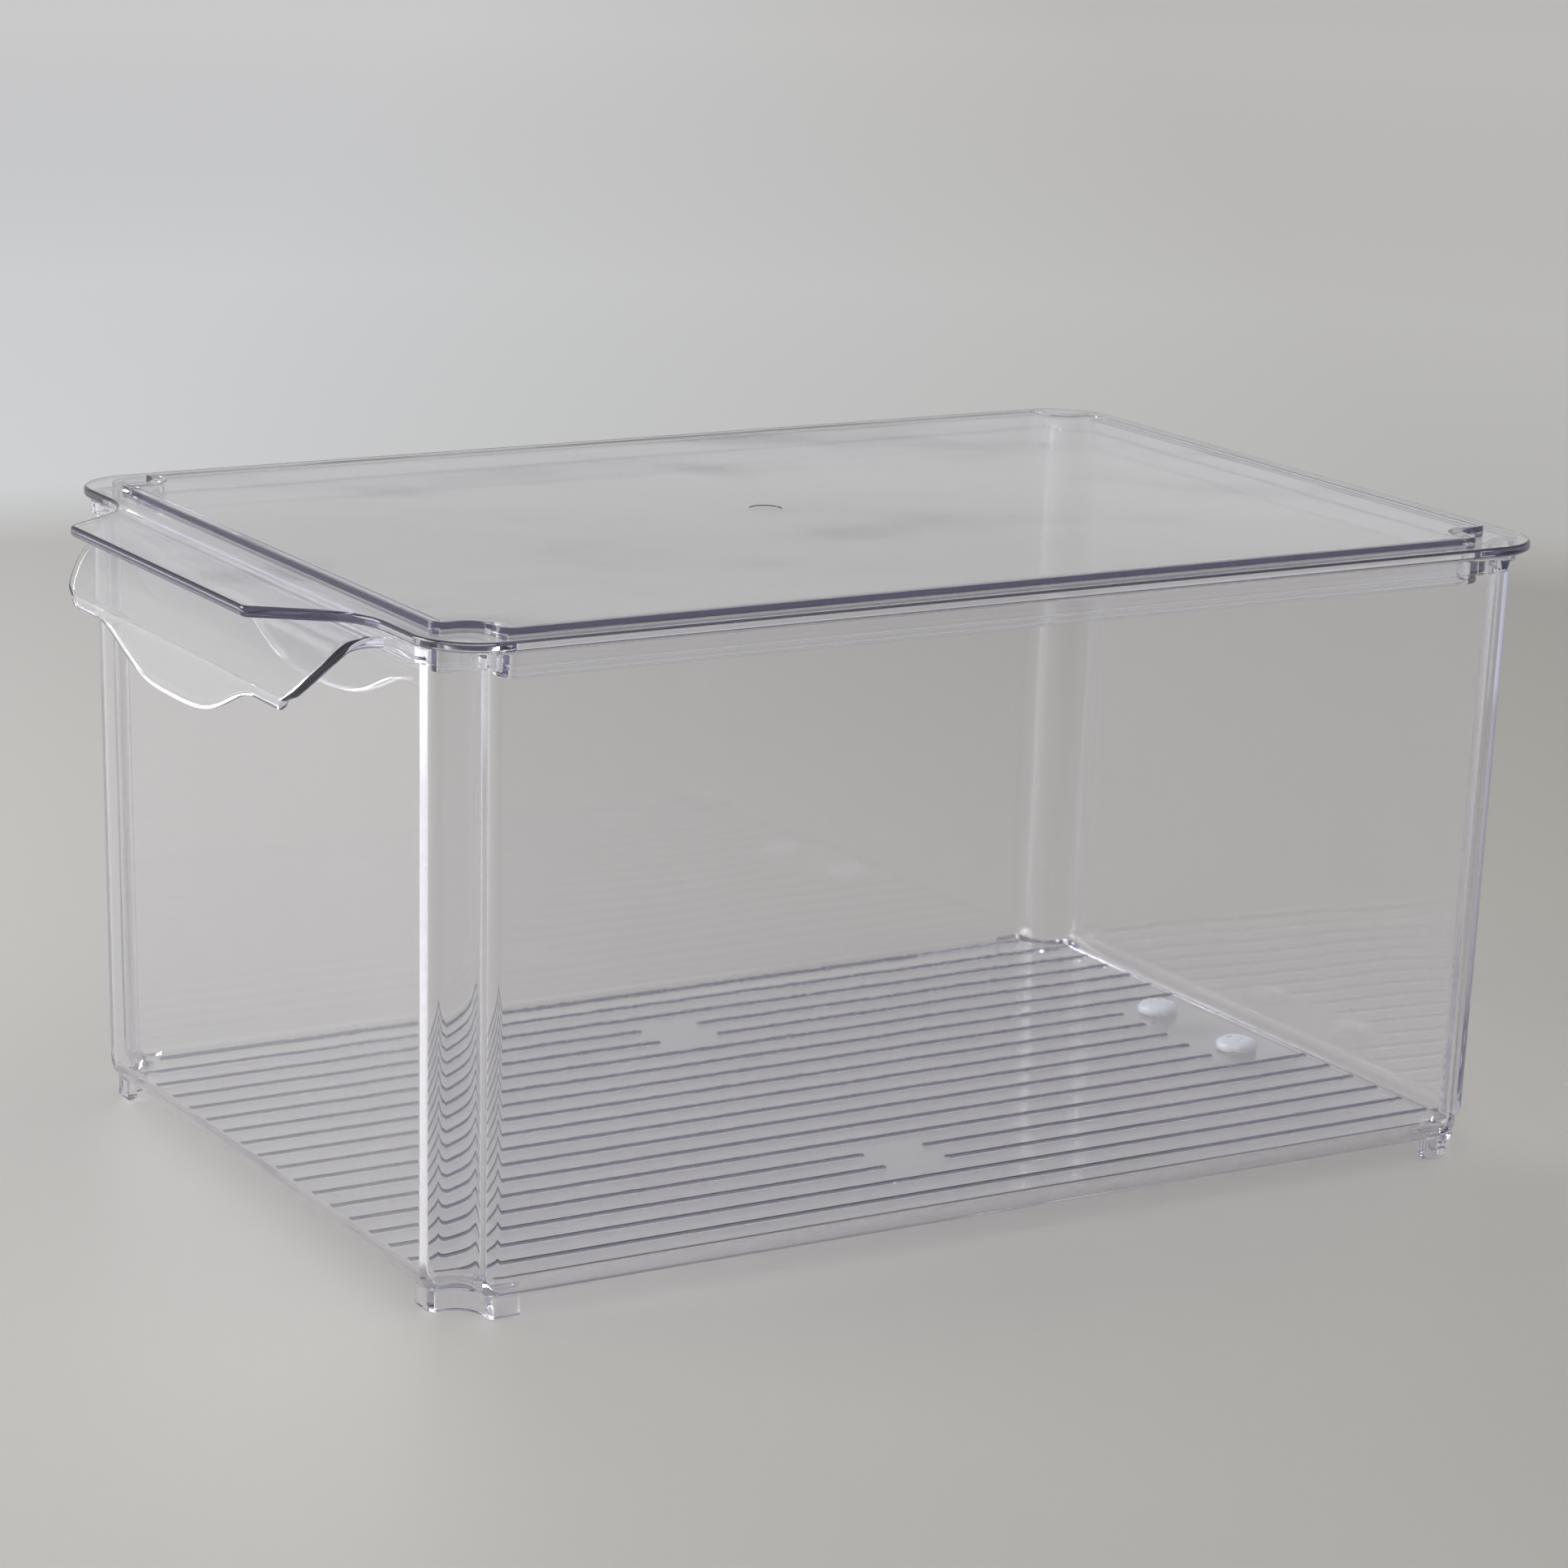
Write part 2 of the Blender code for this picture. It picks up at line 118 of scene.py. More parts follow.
# The front pull. The shares give its slope's reach, drop and narrowing from the root to the ridge.
PULL_THICKNESS = 0.0024
PULL_ROOT_DROP = 0.0013
PULL_ROOT_OVERLAP = 0.0012
PULL_REACH = 0.0195
PULL_DROP = 0.0160
PULL_ROOT_HALF_WIDTH = 0.0780
PULL_RIDGE_HALF_WIDTH = 0.0615
PULL_LIP_HALF_WIDTH = 0.0590
PULL_LIP_HEIGHT = 0.0028
PULL_BULGE_HEIGHT = 0.0098
PULL_BULGE_HALF_WIDTH = 0.0470
PULL_OUT_SHARES = (0.08, 0.22, 0.40, 0.58, 0.745, 0.88, 0.97, 1.00)
PULL_DOWN_SHARES = (0.01, 0.04, 0.125, 0.30, 0.50, 0.71, 0.875, 1.00)
PULL_NARROW_SHARES = (0.08, 0.25, 0.40, 0.45, 0.52, 0.66, 0.80, 1.00)
BULGE_FULLNESS_SHARE = 1.6
PULL_EDGE_RADIUS = 0.0012

# The clear plastic.
PLASTIC_COLOUR = (0.98, 0.98, 0.99, 1)
PLASTIC_CLEARNESS = 0.99
PLASTIC_IOR = 1.57
PLASTIC_ROUGHNESS = (0.012, 0.05)
WAVE_SCALE = 14.0
WAVE_DETAIL = 1.5
WAVE_NOISE_ROUGHNESS = 0.4
WAVE_HEIGHT = 0.0006
SCUFF_SCALE = 260.0
SCUFF_DETAIL = 6.0
SCUFF_NOISE_ROUGHNESS = 0.65
SCUFF_RANGE = (0.5, 0.8)
SCUFF_HEIGHT = 0.000004
SHADOW_TINT = (0.90, 0.90, 0.91, 1)
ABSORB_COLOUR = (0.50, 0.47, 0.74, 1)
ABSORB_DENSITY = 8.0
# The tint of light that goes straight on because it has been thrown back inside a wall more often than the
# number beside it, or has been turned at all more often than MOST_TURNS.
TUB_TRAPPED = ((0.93, 0.93, 0.96, 1), 2.5)
# The lid's tint is dark: it paints dark reflections along the edges of its panel and rim.
LID_TRAPPED_PAINTED_DARK = ((0.15, 0.135, 0.21, 1), 2.5)
MOST_TURNS = 9.5

# The bumpers' frosted rubber.
RUBBER_CLEARNESS = 0.55
RUBBER_IOR = 1.42
RUBBER_CLOUD_SCALE = 420.0
RUBBER_CLOUD_DETAIL = 3.0
RUBBER_CLOUD_NOISE_ROUGHNESS = 0.5
RUBBER_CLOUD_RANGE = (0.3, 0.7)
RUBBER_COLOURS = ((0.84, 0.87, 0.90, 1), (0.92, 0.94, 0.96, 1))
RUBBER_ROUGHNESS = (0.24, 0.42)
RUBBER_GRAIN_SCALE = 3200.0
RUBBER_GRAIN_DETAIL = 2.0
RUBBER_GRAIN_NOISE_ROUGHNESS = 0.6
RUBBER_GRAIN_STRENGTH = 0.5
RUBBER_GRAIN_HEIGHT = 0.00006

# The floor, whose colour changes with the distance from the middle, given as a share of the fade.
FLOOR_REACH = 30.0
FLOOR_DROP = 0.0002
FLOOR_ROUGHNESS = 0.5
FLOOR_FADE = 3.0
FLOOR_COLOURS = (
    (0.10, (0.47, 0.461, 0.443, 1)),
    (0.26, (0.465, 0.457, 0.44, 1)),
    (0.30, (0.65, 0.66, 0.665, 1)),
    (0.50, (0.83, 0.84, 0.85, 1)),
    (1.00, (1.0, 1.0, 1.0, 1)),
)
# From left to right as the camera sees it the floor turns darker and warmer: painted shade of light falling
# off away from the left.
ACROSS_PHOTO = (0.507, 0.861, 0)
FLOOR_SIDES = (-0.30, 0.30)
PAINTED_SIDE_SHADE_TINTS = ((1.0, 1.0, 1.0, 1), (0.835, 0.817, 0.778, 1))

# Where a Mix node for colours has its share, its two colours and its result.
MIX_COLOUR_SOCKETS = (0, 6, 7)
MIX_COLOUR_RESULT = 2

# The light from all round: what the camera and the plastic see, by height, and what lights matt surfaces.
SKY_COLOURS = (
    (0.0, (0.58, 0.583, 0.583, 1)),
    (0.31, (0.54, 0.537, 0.535, 1)),
    (0.43, (0.17, 0.165, 0.19, 1)),
    (0.90, (0.13, 0.125, 0.15, 1)),
)
AMBIENT_COLOUR = (0.64, 0.64, 0.645, 1)

# The lamps: name, place, what it points at, size and power in watts.
LAMPS = (
    ("window", (-0.62, -1.02, 0.70), (0, 0, 0.05), (0.9, 0.8), 15),
    ("overhead", (0.1, 0.2, 1.6), (0, 0, 0), (1.6, 1.6), 5),
)

# How finely the surfaces are cut.
CORNER_STEPS = 10
EDGE_STEPS = 4
FILLET_STEPS = 8
DOME_STEPS = 5
PULL_SLOPE_STEPS = 5
PULL_LIP_STEPS = 5
PULL_COLUMNS = 96
ROUND_COLUMNS = 64
SHARP_ANGLE = math.radians(30)

# Heights above the surface that the box stands on.
RIM_BOTTOM = RIM_TOP - RIM_THICKNESS
PANEL_TOP = RIM_TOP + PANEL_RISE
PANEL_BOTTOM = PANEL_TOP - PANEL_THICKNESS
PLUG_BOTTOM = RIM_TOP - PLUG_DEPTH
TUB_TOP = RIM_BOTTOM - SEAT_GAP
BAND_BOTTOM = TUB_TOP - BAND_HEIGHT
TUB_BOTTOM = FOOT_HEIGHT
FLOOR_TOP = TUB_BOTTOM + FLOOR_THICKNESS
CENTRE_Y = TAB_REACH / 2


def rounded(corners):
    """A closed outline from corners (x, y, radius). Each becomes an arc that touches the straight lines
    beside it: its centre lies radius / sin(half the angle) from the corner, on the line that halves the
    angle."""
    table = np.array(corners, float)
    here, radius = table[:, :2], table[:, 2:]
    before = np.roll(here, 1, axis=0) - here
    after = np.roll(here, -1, axis=0) - here
    before /= np.linalg.norm(before, axis=1, keepdims=True)
    after /= np.linalg.norm(after, axis=1, keepdims=True)
    half = np.arccos(np.clip((before * after).sum(axis=1, keepdims=True), -1, 1)) / 2
    middle = before + after
    middle /= np.linalg.norm(middle, axis=1, keepdims=True)
    centre = here + middle * radius / np.sin(half)
    start = here + before * radius / np.tan(half) - centre
    end = here + after * radius / np.tan(half) - centre
    across = start[:, 0] * end[:, 1] - start[:, 1] * end[:, 0]
    turn = np.arctan2(across, (start * end).sum(axis=1))
    angle = turn[:, None] * np.linspace(0, 1, CORNER_STEPS + 1)
    x = centre[:, :1] + np.cos(angle) * start[:, :1] - np.sin(angle) * start[:, 1:]
    y = centre[:, 1:] + np.sin(angle) * start[:, :1] + np.cos(angle) * start[:, 1:]
    return np.stack([x, y], axis=-1).reshape(-1, 2)


def circle(radius):
    """A round outline: the radius turned through a full circle."""
    angle = np.linspace(0, 2 * np.pi, ROUND_COLUMNS, endpoint=False)
    return np.stack([np.cos(angle), np.sin(angle)], axis=-1) * radius


def arc(inset, height, radius, start, end, steps=EDGE_STEPS):
    """Profile points (inset, height) on a circle round (inset, height), from one angle to another, in
    degrees. 0 points further inwards and 90 points up."""
    angle = np.radians(np.linspace(start, end, steps + 1))
    return np.stack([inset + radius * np.cos(angle), height + radius * np.sin(angle)], axis=-1)


def all_quarters(quarter):
    """The corners of a whole outline, counter-clockwise, from those round its +X +Y corner."""
    back = quarter[::-1]
    left = [(-x, y, r) for x, y, r in back]
    front_left = [(-x, -y, r) for x, y, r in quarter]
    front_right = [(x, -y, r) for x, y, r in back]
    return quarter + left + front_left + front_right


def notched_corner(half_x, half_y, notch, post_radius, cove_radius):
    """The three corners of the notch at +X +Y: a post, the cove and the second post."""
    post = max(post_radius, LEAST_RADIUS)
    cove = min(cove_radius, notch - post - LEAST_RADIUS)
    near_x = half_x - notch
    near_y = half_y - notch
    return [(half_x, near_y, post), (near_x, near_y, cove), (near_x, half_y, post)]


def tub_outline(inset, height):
    """The tub's notched outline at a height, moved inwards from its drafted outer face by inset."""
    down = (TUB_TOP - height) / (TUB_TOP - TUB_BOTTOM)
    half_x = LID_WIDTH / 2 - TUB_INSET - SIDE_DRAFT * down - inset
    half_y = LID_LENGTH / 2 - TUB_INSET - END_DRAFT * down - inset
    corner = notched_corner(half_x, half_y, NOTCH, POST_RADIUS - inset, COVE_RADIUS + inset)
    return rounded(all_quarters(corner))


def plug_outline(inset, height):
    """The plug's notched outline, moved inwards by inset. It is the same at every height."""
    to_plug = TUB_INSET + WALL + PLUG_CLEARANCE + inset
    notch = NOTCH + PLUG_CORNER_CLEARANCE - PLUG_CLEARANCE
    half_x = LID_WIDTH / 2 - to_plug
    half_y = LID_LENGTH / 2 - to_plug
    corner = notched_corner(half_x, half_y, notch, PLUG_POST_RADIUS - inset, PLUG_COVE_RADIUS + inset)
    return rounded(all_quarters(corner))


def tab_narrowing(inset):
    """How much a tab corner moves towards the middle when the outline moves inwards by inset: the slanted
    side moves by inset times the root of 1 + lean squared, less inset times lean, the part that the shift of
    the crossing edge gives back."""
    lean = (TAB_ROOT_HALF_WIDTH - TAB_TIP_HALF_WIDTH) / TAB_REACH
    return inset * (math.hypot(1, lean) - lean)


def lid_outline(inset, height):
    """The lid's outline with its tab, moved inwards by inset. It is the same at every height."""
    half_x = LID_WIDTH / 2 - inset
    half_y = LID_LENGTH / 2 - inset
    tip = -LID_LENGTH / 2 - TAB_REACH + inset
    root_x = TAB_ROOT_HALF_WIDTH - tab_narrowing(inset)
    tip_x = TAB_TIP_HALF_WIDTH - tab_narrowing(inset)
    corner = LID_CORNER_RADIUS - inset
    return rounded(
        [
            (half_x, half_y, corner),
            (-half_x, half_y, corner),
            (-half_x, -half_y, corner),
            (-root_x, -half_y, TAB_ROOT_RADIUS + inset),
            (-tip_x, tip, TAB_TIP_RADIUS - inset),
            (tip_x, tip, TAB_TIP_RADIUS - inset),
            (root_x, -half_y, TAB_ROOT_RADIUS + inset),
            (half_x, -half_y, corner),
        ]
    )


def tab_outline(inset, height):
    """The tab alone, a hair inside the lid's own outline, moved inwards by inset. It is the same at every
    height."""
    inset = inset + TAB_SKIN
    lean = (TAB_ROOT_HALF_WIDTH - TAB_TIP_HALF_WIDTH) / TAB_REACH
    root = -LID_LENGTH / 2 - SEAT_GAP - inset
    root_x = TAB_ROOT_HALF_WIDTH - lean * (SEAT_GAP + inset) - inset * math.hypot(1, lean)
    tip = -LID_LENGTH / 2 - TAB_REACH + inset
    tip_x = TAB_TIP_HALF_WIDTH - tab_narrowing(inset)
    return rounded(
        [
            (-root_x, root, LEAST_RADIUS),
            (-tip_x, tip, TAB_TIP_RADIUS - inset),
            (tip_x, tip, TAB_TIP_RADIUS - inset),
            (root_x, root, LEAST_RADIUS),
        ]
    )


def foot_outline(inset):
    """The foot under the +X +Y corner, a wall that follows the notch, every side moved inwards by inset."""
    half_x = LID_WIDTH / 2 - TUB_INSET - SIDE_DRAFT - FOOT_INSET - inset
    half_y = LID_LENGTH / 2 - TUB_INSET - END_DRAFT - FOOT_INSET - inset
    deep = FOOT_WALL - 2 * inset
    near = FOOT_INSET + inset
    outer = notched_corner(half_x, half_y, NOTCH, POST_RADIUS - near, COVE_RADIUS + near)
    inner_x = half_x - deep
    inner_y = half_y - deep
    inner = notched_corner(inner_x, inner_y, NOTCH, POST_RADIUS - near - deep, COVE_RADIUS + near + deep)
    leg_x = half_x - NOTCH - FOOT_LEG + 2 * inset
    leg_y = half_y - NOTCH - FOOT_LEG + 2 * inset
    end = FOOT_END_RADIUS - inset
    side_end = [(inner_x, leg_y, end), (half_x, leg_y, end)]
    front_end = [(leg_x, half_y, end), (leg_x, inner_y, end)]
    return rounded(side_end + outer + front_end + inner[::-1])


def skin_parts(outlines, heights, first=0):
    """The points and faces of a closed skin: point (i, j) is point j of outline i, at height i, and
    neighbours are joined by four-sided faces. The first and last outlines are capped."""
    rings, around = outlines.shape[:2]
    points = np.concatenate([outlines, np.broadcast_to(heights[:, None, None], (rings, around, 1))], axis=-1)
    points = points + np.array([0, CENTRE_Y, 0])
    index = np.arange(rings * around).reshape(rings, around) + first
    after = np.roll(index, -1, axis=1)
    quads = np.stack([index[:-1], after[:-1], after[1:], index[1:]], axis=-1).reshape(-1, 4)
    faces = quads.tolist() + [index[0, ::-1].tolist(), index[-1].tolist()]
    return points.reshape(-1, 3), faces


def new_piece(name, points, faces):
    """An object at the origin whose mesh holds the points and faces."""
    mesh = bpy.data.meshes.new(name)
    mesh.from_pydata(points.tolist(), [], faces)
    obj = bpy.data.objects.new(name, mesh)
    bpy.context.collection.objects.link(obj)
    return obj


def swept(name, outline, profile):
    """A closed skin from a function outline(inset, height), carried along a profile of (inset, height)."""
    outlines = np.stack([outline(inset, height) for inset, height in profile])
    points, faces = skin_parts(outlines, profile[:, 1])
    return new_piece(name, points, faces)


def tub_walls():
    """The tub without its feet, ribs and pull: the notched outline carried under the floor's edge, up the
    drafted outside, round the band and the rim, down the inside and round the floor's inner edge."""
    band = -BAND_PROUD
    inner = INNER_BOTTOM_RADIUS
    profile = np.concatenate(
        [
            arc(BOTTOM_RADIUS, TUB_BOTTOM + BOTTOM_RADIUS, BOTTOM_RADIUS, 270, 180, FILLET_STEPS),
            arc(-BAND_FILLET, BAND_BOTTOM - BAND_FILLET, BAND_FILLET, 0, 90),
            arc(band + BAND_EDGE_RADIUS, BAND_BOTTOM + BAND_EDGE_RADIUS, BAND_EDGE_RADIUS, 270, 180),
            arc(band + BAND_EDGE_RADIUS, TUB_TOP - BAND_EDGE_RADIUS, BAND_EDGE_RADIUS, 180, 90),
            arc(WALL - MOUTH_EDGE_RADIUS, TUB_TOP - MOUTH_EDGE_RADIUS, MOUTH_EDGE_RADIUS, 90, 0),
            arc(WALL + inner, FLOOR_TOP + inner, inner, 180, 270, FILLET_STEPS),
        ]
    )
    return swept("tub_shell", tub_outline, profile)


def rib_spans(index):
    """The stretches (start, end) along Y of the rib that lies index pitches from the middle."""
    inner_half_x = LID_WIDTH / 2 - TUB_INSET - SIDE_DRAFT - WALL
    inner_half_y = LID_LENGTH / 2 - TUB_INSET - END_DRAFT - WALL
    end = inner_half_y - RIB_END_CLEARANCE
    if abs(index) * RIB_PITCH > inner_half_x - NOTCH - RIB_NOTCH_CLEARANCE:
        end -= NOTCH
    rear = end - REAR_BARE_LENGTH if abs(index) <= REAR_BARE_RIB else end
    if abs(index) in BARE_PLACE_RIBS:
        return [(-end, -BARE_PLACE_LENGTH / 2), (BARE_PLACE_LENGTH / 2, rear)]
    return [(-end, rear)]


def rib_outline(x, start, end, inset):
    """A bar with half-round ends, seen from above, with its sides moved inwards by inset."""
    half = RIB_WIDTH / 2
    turn = np.linspace(0, np.pi, CORNER_STEPS + 1)
    cap = np.stack([np.cos(turn), np.sin(turn)], axis=-1) * (half - inset)
    return np.concatenate([cap + np.array([x, end - half]), np.array([x, start + half]) - cap])


def floor_ribs():
    """All the ribs: each round-ended bar shrinks towards its top by a quarter of an ellipse, which ends in a
    narrow flat."""
    half = RIB_WIDTH / 2
    last = int((LID_WIDTH / 2 - TUB_INSET - SIDE_DRAFT - WALL - RIB_SIDE_CLEARANCE) / RIB_PITCH)
    rise = np.linspace(0, math.radians(90), DOME_STEPS + 1)
    inset = np.append(0, half * (1 - RIB_FLAT_SHARE) * (1 - np.cos(rise)))
    height = np.append(FLOOR_TOP - RIB_DEPTH, FLOOR_TOP + RIB_HEIGHT * np.sin(rise))
    points, faces, count = [], [], 0
    for index in range(-last, last + 1):
        for start, end in rib_spans(index):
            outlines = np.stack([rib_outline(index * RIB_PITCH, start, end, step) for step in inset])
            own_points, own_faces = skin_parts(outlines, height, count)
            points.append(own_points)
            faces += own_faces
            count += len(own_points)
    return new_piece("floor_ribs", np.concatenate(points), faces)


def corner_feet():
    """The four feet: the foot's outline from its round lower edge into the floor, mirrored to each corner."""
    edge = arc(FOOT_EDGE_RADIUS, FOOT_EDGE_RADIUS, FOOT_EDGE_RADIUS, 270, 180)
    profile = np.vstack([edge, (0, TUB_BOTTOM + FOOT_JOIN)])
    outlines = np.stack([foot_outline(inset) for inset in profile[:, 0]])
    points, faces, count = [], [], 0
    for side in (1, -1):
        for end in (1, -1):
            mirrored = outlines * np.array([side, end])
            if side != end:
                mirrored = mirrored[:, ::-1]
            own_points, own_faces = skin_parts(mirrored, profile[:, 1], count)
            points.append(own_points)
            faces += own_faces
            count += len(own_points)
    return new_piece("corner_feet", np.concatenate(points), faces)


def smooth_through(knots, steps):
    """A smooth curve through knots, by the cubic whose slope at each knot is half the way between its
    neighbours, cut into steps between each two knots."""
    whole = np.vstack([2 * knots[0] - knots[1], knots, 2 * knots[-1] - knots[-2]])
    share = np.linspace(0, 1, steps, endpoint=False)[None, :, None]
    a, b, c, d = (whole[i : len(whole) - 3 + i, None, :] for i in range(4))
    curve = 2 * b + (c - a) * share
    curve = curve + (2 * a - 5 * b + 4 * c - d) * share**2 + (3 * b - a - 3 * c + d) * share**3
    return np.vstack([curve.reshape(-1, knots.shape[1]) / 2, knots[-1:]])


def lip_depth(x):
    """How far the lip hangs below the ridge at x: even, with a cosine bulge in the middle."""
    reach = np.minimum(np.abs(x) / PULL_BULGE_HALF_WIDTH, 1) ** BULGE_FULLNESS_SHARE
    return PULL_LIP_HEIGHT + PULL_BULGE_HEIGHT * (1 + np.cos(np.pi * reach)) / 2


def front_pull():
    """The pull: a middle surface of rows from root to lip and columns across, thickened both ways by half its
    thickness. Towards its free edges the thickness falls off as a quarter of a circle, so they are round."""
    front = LID_LENGTH / 2 - TUB_INSET
    top = TUB_TOP - PULL_ROOT_DROP
    shares = np.array([PULL_OUT_SHARES, PULL_DOWN_SHARES, PULL_NARROW_SHARES]).T
    narrowing = PULL_ROOT_HALF_WIDTH - PULL_RIDGE_HALF_WIDTH
    root = np.array([front, top, PULL_ROOT_HALF_WIDTH])
    knots = np.vstack(
        [
            (front - PULL_ROOT_OVERLAP, top, PULL_ROOT_HALF_WIDTH),
            root + shares * np.array([PULL_REACH, -PULL_DROP, -narrowing]),
        ]
    )
    slope = smooth_through(knots, PULL_SLOPE_STEPS)
    radius = PULL_EDGE_RADIUS
    turn = np.radians(np.linspace(0, 90, EDGE_STEPS + 1))
    edge = radius * (1 - np.cos(turn))
    # Each column's place is its own distance from the nearer side edge.
    inside = np.linspace(0, 1, PULL_COLUMNS + 1)[1:-1]
    half = slope[:, 2:]
    left = -half + edge
    middle = -(half - radius) + 2 * (half - radius) * inside
    right = half - edge[::-1]
    x_slope = np.hstack([left, middle, right])
    y_slope = np.broadcast_to(-slope[:, :1], x_slope.shape)
    z_slope = np.broadcast_to(slope[:, 1:2], x_slope.shape)
    # The lip hangs from the last row of the slope.
    depth = lip_depth(x_slope[-1])
    even = np.linspace(0, 1, PULL_LIP_STEPS + 1)[1:, None] * (depth - radius)
    round_end = depth - edge[::-1][1:, None]
    down = np.vstack([even, round_end])
    share = down / depth
    lip_half = PULL_RIDGE_HALF_WIDTH + (PULL_LIP_HALF_WIDTH - PULL_RIDGE_HALF_WIDTH) * share**2
    x_lip = x_slope[-1] * lip_half / PULL_RIDGE_HALF_WIDTH
    y_lip = np.broadcast_to(y_slope[-1], x_lip.shape)
    z_lip = z_slope[-1] - down
    both = ((x_slope, x_lip), (y_slope, y_lip), (z_slope, z_lip))
    outer = np.stack([np.vstack(pair) for pair in both], axis=-1)
    along = np.gradient(outer, axis=0)[..., 1:]
    along /= np.linalg.norm(along, axis=-1, keepdims=True)
    inwards = np.stack([np.zeros(along.shape[:2]), -along[..., 1], along[..., 0]], axis=-1)
    rows, columns = outer.shape[:2]
    to_side = np.concatenate([edge, np.full(columns - 2 * len(edge), radius), edge[::-1]])
    to_lip = np.concatenate([np.full(rows - len(edge), radius), edge[::-1]])
    fall_side = np.sqrt(1 - (1 - to_side / radius) ** 2)
    fall_lip = np.sqrt(1 - (1 - to_lip / radius) ** 2)
    half_thick = PULL_THICKNESS / 2 * fall_lip[:, None] * fall_side[None, :]
    middle_surface = outer + inwards * PULL_THICKNESS / 2
    upper = middle_surface - inwards * half_thick[..., None]
    lower = middle_surface + inwards * half_thick[..., None]
    index = np.arange(rows * columns).reshape(rows, columns)
    under = index.copy()
    under[:-1, 1:-1] = rows * columns + np.arange((rows - 1) * (columns - 2)).reshape(rows - 1, columns - 2)
    points = np.vstack([upper.reshape(-1, 3), lower[:-1, 1:-1].reshape(-1, 3)])
    points = points + np.array([0, CENTRE_Y, 0])
    top_faces = np.stack([index[:-1, :-1], index[1:, :-1], index[1:, 1:], index[:-1, 1:]], axis=-1)
    low_faces = np.stack([under[:-1, :-1], under[:-1, 1:], under[1:, 1:], under[1:, :-1]], axis=-1)
    faces = top_faces.reshape(-1, 4).tolist() + low_faces.reshape(-1, 4).tolist()
    root_face = np.concatenate([index[0], under[0, 1:-1][::-1]])
    faces.append(root_face.tolist())
    return new_piece("front_pull", points, faces)


def lid_plate():
    """The lid's rim as one plate with round edges."""
    r = RIM_EDGE_RADIUS
    profile = np.concatenate([arc(r, RIM_BOTTOM + r, r, 270, 180), arc(r, RIM_TOP - r, r, 180, 90)])
    return swept("lid_shell", lid_outline, profile)


def tab_slab():
    """The lower half of the tab, which is thicker than the rim, with a round lower edge."""
    r = TAB_EDGE_RADIUS
    bottom = RIM_TOP - TAB_THICKNESS
    profile = np.vstack([arc(r, bottom + r, r, 270, 180), (0, RIM_TOP - RIM_THICKNESS / 2)])
    return swept("tab_slab", tab_outline, profile)


def plug_block():
    """The plug before it is hollowed, with a round lower edge, and the raised panel on top of it: the plug's
    outline carried up a profile that ends in a small round at the panel's edge."""
    r = PLUG_EDGE_RADIUS
    e = PANEL_EDGE_RADIUS
    profile = np.vstack([arc(r, PLUG_BOTTOM + r, r, 270, 180), arc(e, PANEL_TOP - e, e, 180, 90)])
    return swept("plug_block", plug_outline, profile)


def plug_hollow():
    """What the plug's inside is cut with: it rounds the wall's lower edge and leaves a fillet under the
    panel."""
    r = PLUG_EDGE_RADIUS
    f = PANEL_FILLET
    profile = np.vstack(
        [
            (PLUG_WALL - r, PLUG_BOTTOM - r),
            arc(PLUG_WALL - r, PLUG_BOTTOM + r, r, 270, 360),
            arc(PLUG_WALL + f, PANEL_BOTTOM - f, f, 180, 90),
        ]
    )
    return swept("plug_hollow", plug_outline, profile)


def gate_mark():
    """What the round mark in the middle of the panel is cut with: a shallow dish with a soft edge, circles
    stacked over a quarter round."""
    turn = np.linspace(0, math.pi / 2, FILLET_STEPS)
    radii = GATE_RADIUS - GATE_SOFT_EDGE * (1 - np.sin(turn))
    heights = PANEL_TOP - GATE_DIP * np.cos(turn)
    radii = np.append(radii, GATE_RADIUS)
    heights = np.append(heights, PANEL_TOP + GATE_DIP)
    outlines = np.stack([circle(radius) - np.array([0, CENTRE_Y]) for radius in radii])
    points, faces = skin_parts(outlines, heights)
    return new_piece("gate_mark", points, faces)


def bumper(name, side):
    """A bumper: a round foot with a narrower dome, turned about its own upright axis."""
    table = np.array(BUMPER_SIDE + BUMPER_DOME) * np.array([BUMPER_DIAMETER / 2, BUMPER_HEIGHT])
    y = LID_LENGTH / 2 - TUB_INSET - END_DRAFT - BUMPER_REAR_DISTANCE
    middle = np.array([side * BUMPER_SPACING / 2, y])
    outlines = np.stack([circle(radius) + middle for radius in table[:, 0]])
    points, faces = skin_parts(outlines, FLOOR_TOP + SEAT_GAP + table[:, 1])
    obj = new_piece(name, points, faces)
    obj.data.shade_smooth()
    return obj


def combine(base, steps):
    """Joins helpers to a piece, or cuts it with them, writes the result into its mesh and removes the
    helpers. Flat faces keep their own normals, and edges over SHARP_ANGLE stay sharp."""
    for helper, operation in steps:
        modifier = base.modifiers.new(helper.name, "BOOLEAN")
        modifier.operation = operation
        modifier.solver = "EXACT"
        modifier.object = helper
    bpy.context.view_layer.update()
    depsgraph = bpy.context.evaluated_depsgraph_get()
    joined = bpy.data.meshes.new_from_object(base.evaluated_get(depsgraph))
    base.modifiers.clear()
    base.data = joined
    for helper, operation in steps:
        bpy.data.objects.remove(helper, do_unlink=True)
    joined.shade_smooth()
    joined.set_sharp_from_angle(angle=SHARP_ANGLE)
    weighted = base.modifiers.new("flat_faces", "WEIGHTED_NORMAL")
    weighted.keep_sharp = True
    weighted.mode = "FACE_AREA_WITH_ANGLE"
    return base


def tub_shell():
    """The tub as one skin: walls, feet, ribs and pull."""
    steps = [(corner_feet(), "UNION"), (front_pull(), "UNION"), (floor_ribs(), "UNION")]
    return combine(tub_walls(), steps)


